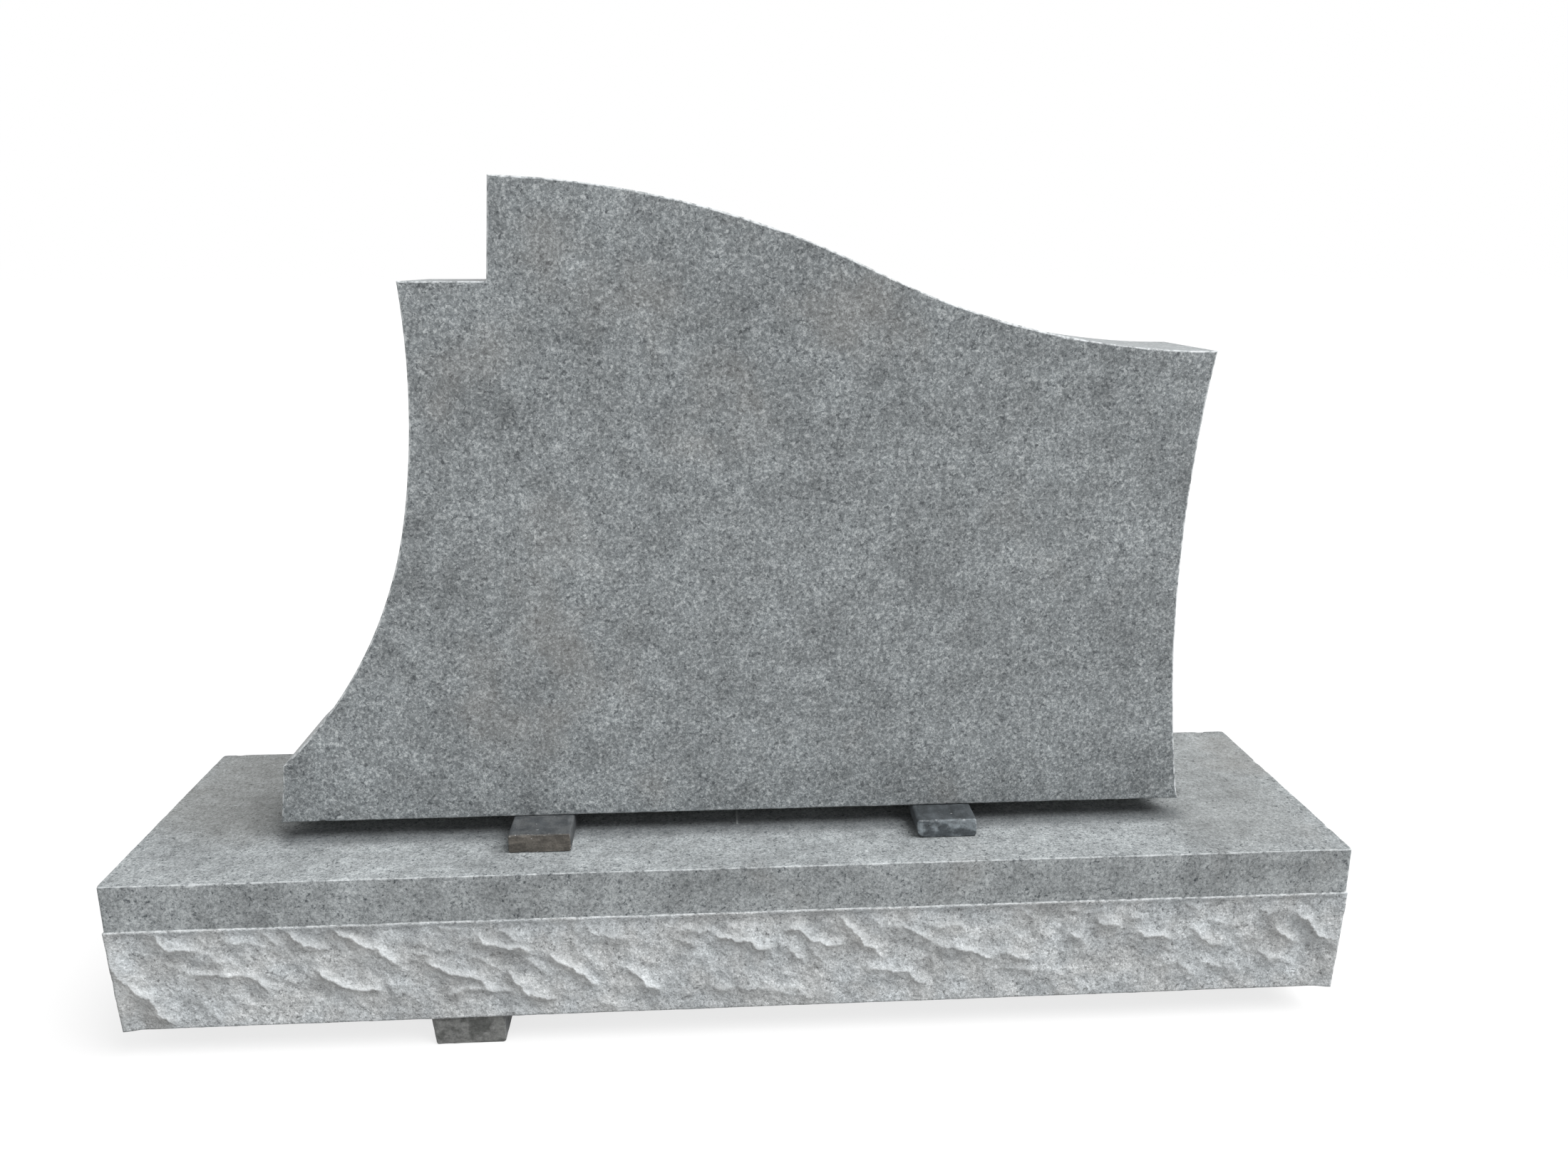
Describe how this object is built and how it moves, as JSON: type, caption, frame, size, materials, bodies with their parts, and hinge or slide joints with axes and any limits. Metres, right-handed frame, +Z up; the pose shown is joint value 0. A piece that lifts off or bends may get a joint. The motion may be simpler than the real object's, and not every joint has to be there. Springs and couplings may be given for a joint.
{
  "type": "granite headstone",
  "caption": "Serpentine granite tablet with a stepped shoulder and hollow sides, set on spacers over a rock-pitched granite base that rests on timber bearers.",
  "frame": {"origin": "on the ground under the middle of the base", "axes": "+X along the base to the right as seen from the front, +Y to the back, +Z up"},
  "size_m": [1.378, 0.362, 0.9377],
  "materials": {
    "tablet_granite": "honed grey granite",
    "base_granite": "polished top and margin, rock-pitched faces",
    "brown_timber": "weathered sawn timber",
    "charcoal_timber": "dark stained timber with worn edges",
    "bearer_timber": "dark green-grey weathered timber"
  },
  "bodies": {
    "root": {"tablet": "tablet_granite", "base_stone": "base_granite", "left_spacer": "brown_timber", "right_spacer": "charcoal_timber", "left_bearer": "bearer_timber", "right_bearer": "bearer_timber"}
  },
  "joints": []
}
